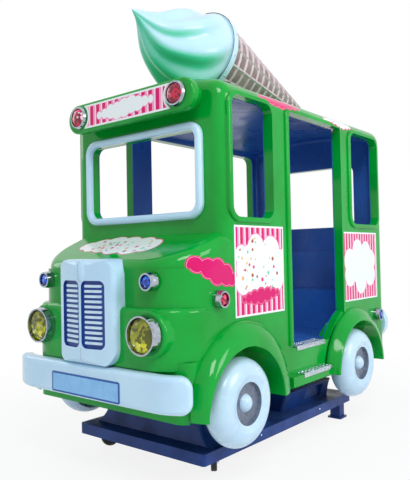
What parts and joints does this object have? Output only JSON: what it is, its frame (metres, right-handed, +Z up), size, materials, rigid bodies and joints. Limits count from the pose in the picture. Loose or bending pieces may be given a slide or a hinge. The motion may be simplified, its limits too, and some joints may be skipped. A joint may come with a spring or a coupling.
{
  "type": "ice cream truck kiddie ride",
  "caption": "Coin-operated rocking ride for small children, a hollow toy truck with benches, open doorways and a giant ice cream cone on its roof, on a low steel base.",
  "frame": {"origin": "middle of the whole ride's outline, on the floor", "axes": "-Y is the truck's front, +X its left side, +Z up"},
  "size_m": [1.038, 1.9483, 2.1072],
  "materials": {
    "green_shell": "glossy moulded fibreglass",
    "white_moulding": "glossy moulded fibreglass",
    "wheel_white": "glossy moulding with a painted ring",
    "cream_white": "glossy moulded fibreglass",
    "wafer": "painted wafer pattern",
    "navy_moulding": "semi-gloss moulded fibreglass",
    "navy_grille": "navy panel with white bars",
    "navy_steel": "gloss enamel on sheet steel",
    "frame_steel": "black enamel on steel tube",
    "bearing_iron": "painted castings",
    "zinc_steel": "zinc plated pressed steel",
    "castor_rubber": "moulded tread",
    "chrome_trim": "bright plated",
    "tread_metal": "ribbed bright strip",
    "yellow_lens": "clear tinted moulding",
    "blue_lens": "clear tinted moulding",
    "red_lens": "clear tinted moulding",
    "striped_print": "printed stripes, no lettering",
    "plate_blue": "plain plate with an edge line"
  },
  "bodies": {
    "base": {"base_tray": "navy_steel", "rear_legs": "navy_steel", "front_pedestal": "navy_steel", "pivot_housing": "navy_steel", "drive_motor": "bearing_iron", "pivot_bearings": "bearing_iron", "castor_plates": "zinc_steel"},
    "truck": {"body_side_left": "green_shell", "body_side_right": "green_shell", "front_wall": "green_shell", "rear_wall": "green_shell", "roof_shell": "green_shell", "nose_shell": "green_shell", "fender_front_left": "green_shell", "fender_front_right": "green_shell", "fender_rear_left": "green_shell", "fender_rear_right": "green_shell", "side_steps": "green_shell", "sign_board": "green_shell", "rear_window_frame": "green_shell", "windscreen_frame": "white_moulding", "grille_surround": "white_moulding", "front_bumper": "white_moulding", "rear_bumper": "white_moulding", "cream_swirl": "cream_white", "cone_collar": "cream_white", "waffle_cone": "wafer", "cabin_floor": "navy_moulding", "front_bench": "navy_moulding", "rear_bench": "navy_moulding", "cab_liner": "navy_moulding", "grille_insert": "navy_grille", "rocker_frame": "frame_steel", "cone_cradle": "frame_steel", "lamp_rims": "chrome_trim", "step_treads": "tread_metal", "headlight_lenses": "yellow_lens", "blue_lamps": "blue_lens", "red_lamps": "red_lens", "striped_panels": "striped_print", "number_plate": "plate_blue"},
    "wheel_front_left": {"wheel_front_left": "wheel_white"},
    "wheel_front_right": {"wheel_front_right": "wheel_white"},
    "wheel_rear_left": {"wheel_rear_left": "wheel_white"},
    "wheel_rear_right": {"wheel_rear_right": "wheel_white"},
    "castor_left": {"castor_fork_left": "zinc_steel"},
    "castor_right": {"castor_fork_right": "zinc_steel"},
    "castor_wheel_left": {"castor_wheel_left": "castor_rubber"},
    "castor_wheel_right": {"castor_wheel_right": "castor_rubber"}
  },
  "joints": [
    {"name": "rock", "type": "hinge", "parent": "base", "child": "truck", "pos_m": [0, 0.23485, 0.262], "axis": [1, 0, 0], "range_deg": [-4, 4]},
    {"name": "wheel_front_left_spin", "type": "hinge", "parent": "truck", "child": "wheel_front_left", "pos_m": [0.455, -0.55765, 0.32], "axis": [1, 0, 0], "continuous": true},
    {"name": "wheel_front_right_spin", "type": "hinge", "parent": "truck", "child": "wheel_front_right", "pos_m": [-0.455, -0.55765, 0.32], "axis": [1, 0, 0], "continuous": true},
    {"name": "wheel_rear_left_spin", "type": "hinge", "parent": "truck", "child": "wheel_rear_left", "pos_m": [0.455, 0.45235, 0.32], "axis": [1, 0, 0], "continuous": true},
    {"name": "wheel_rear_right_spin", "type": "hinge", "parent": "truck", "child": "wheel_rear_right", "pos_m": [-0.455, 0.45235, 0.32], "axis": [1, 0, 0], "continuous": true},
    {"name": "castor_left_swivel", "type": "hinge", "parent": "base", "child": "castor_left", "pos_m": [0.3, -0.52515, 0.1], "axis": [0, 0, 1], "continuous": true},
    {"name": "castor_left_roll", "type": "hinge", "parent": "castor_left", "child": "castor_wheel_left", "pos_m": [0.28329, -0.50523, 0.042], "axis": [0.766, 0.6428, 0], "continuous": true},
    {"name": "castor_right_swivel", "type": "hinge", "parent": "base", "child": "castor_right", "pos_m": [-0.3, -0.52515, 0.1], "axis": [0, 0, 1], "continuous": true},
    {"name": "castor_right_roll", "type": "hinge", "parent": "castor_right", "child": "castor_wheel_right", "pos_m": [-0.31992, -0.54186, 0.042], "axis": [-0.6428, 0.766, 0], "continuous": true}
  ]
}
